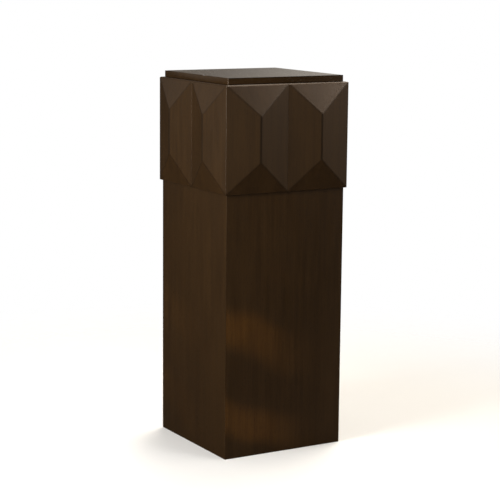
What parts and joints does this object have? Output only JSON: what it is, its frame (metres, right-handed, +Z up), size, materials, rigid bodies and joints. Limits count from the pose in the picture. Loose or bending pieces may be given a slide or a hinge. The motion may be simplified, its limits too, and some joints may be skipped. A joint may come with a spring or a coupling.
{
  "type": "display plinth",
  "caption": "Tall square display plinth in dark stained wood, with a collar of diamond-point blocks below a lift-off inset top, on recessed levelling feet.",
  "frame": {"origin": "middle of the square footprint, on the floor", "axes": "+Z up the plinth, -Y out of the front, +X to the front's right"},
  "size_m": [0.4362, 0.4362, 1.067],
  "materials": {
    "shaft_veneer": "dark stained veneer, satin lacquer",
    "block_veneer": "dark stained veneer on solid blocks, satin lacquer",
    "top_veneer": "dark stained veneer, semi-gloss lacquer",
    "plywood": "raw birch plywood",
    "softwood": "planed softwood",
    "zinc_steel": "zinc-plated steel",
    "nylon": "black nylon"
  },
  "bodies": {
    "carcass": {"shaft_panel_front": "shaft_veneer", "shaft_panel_right": "shaft_veneer", "shaft_panel_back": "shaft_veneer", "shaft_panel_left": "shaft_veneer", "diamond_block_front_left": "block_veneer", "diamond_block_front_right": "block_veneer", "diamond_block_right_left": "block_veneer", "diamond_block_right_right": "block_veneer", "diamond_block_back_left": "block_veneer", "diamond_block_back_right": "block_veneer", "diamond_block_left_left": "block_veneer", "diamond_block_left_right": "block_veneer", "base_board": "plywood", "mid_stiffener": "plywood", "sub_top": "plywood", "corner_post_front_left": "softwood", "corner_post_front_right": "softwood", "corner_post_back_right": "softwood", "corner_post_back_left": "softwood", "block_screw_front_left_lower": "zinc_steel", "block_screw_front_left_upper": "zinc_steel", "block_screw_front_right_lower": "zinc_steel", "block_screw_front_right_upper": "zinc_steel", "block_screw_right_left_lower": "zinc_steel", "block_screw_right_left_upper": "zinc_steel", "block_screw_right_right_lower": "zinc_steel", "block_screw_right_right_upper": "zinc_steel", "block_screw_back_left_lower": "zinc_steel", "block_screw_back_left_upper": "zinc_steel", "block_screw_back_right_lower": "zinc_steel", "block_screw_back_right_upper": "zinc_steel", "block_screw_left_left_lower": "zinc_steel", "block_screw_left_left_upper": "zinc_steel", "block_screw_left_right_lower": "zinc_steel", "block_screw_left_right_upper": "zinc_steel", "base_screw_front_left": "zinc_steel", "base_screw_front_right": "zinc_steel", "base_screw_back_right": "zinc_steel", "base_screw_back_left": "zinc_steel", "sub_top_screw_front_left": "zinc_steel", "sub_top_screw_front_right": "zinc_steel", "sub_top_screw_back_right": "zinc_steel", "sub_top_screw_back_left": "zinc_steel", "tee_nut_front_left": "zinc_steel", "tee_nut_front_right": "zinc_steel", "tee_nut_back_right": "zinc_steel", "tee_nut_back_left": "zinc_steel"},
    "top": {"top_panel": "top_veneer", "top_batten_front": "softwood", "top_batten_back": "softwood"},
    "foot_front_left": {"foot_pad_front_left": "nylon", "foot_stem_front_left": "zinc_steel"},
    "foot_front_right": {"foot_pad_front_right": "nylon", "foot_stem_front_right": "zinc_steel"},
    "foot_back_right": {"foot_pad_back_right": "nylon", "foot_stem_back_right": "zinc_steel"},
    "foot_back_left": {"foot_pad_back_left": "nylon", "foot_stem_back_left": "zinc_steel"}
  },
  "joints": [
    {"name": "top_lift", "type": "slide", "parent": "carcass", "child": "top", "axis": [0, 0, 1], "range_m": [0, 0.08]},
    {"name": "foot_travel_front_left", "type": "slide", "parent": "carcass", "child": "foot_front_left", "axis": [0, 0, -1], "range_m": [0, 0.015]},
    {"name": "foot_travel_front_right", "type": "slide", "parent": "carcass", "child": "foot_front_right", "axis": [0, 0, -1], "range_m": [0, 0.015]},
    {"name": "foot_travel_back_right", "type": "slide", "parent": "carcass", "child": "foot_back_right", "axis": [0, 0, -1], "range_m": [0, 0.015]},
    {"name": "foot_travel_back_left", "type": "slide", "parent": "carcass", "child": "foot_back_left", "axis": [0, 0, -1], "range_m": [0, 0.015]}
  ]
}
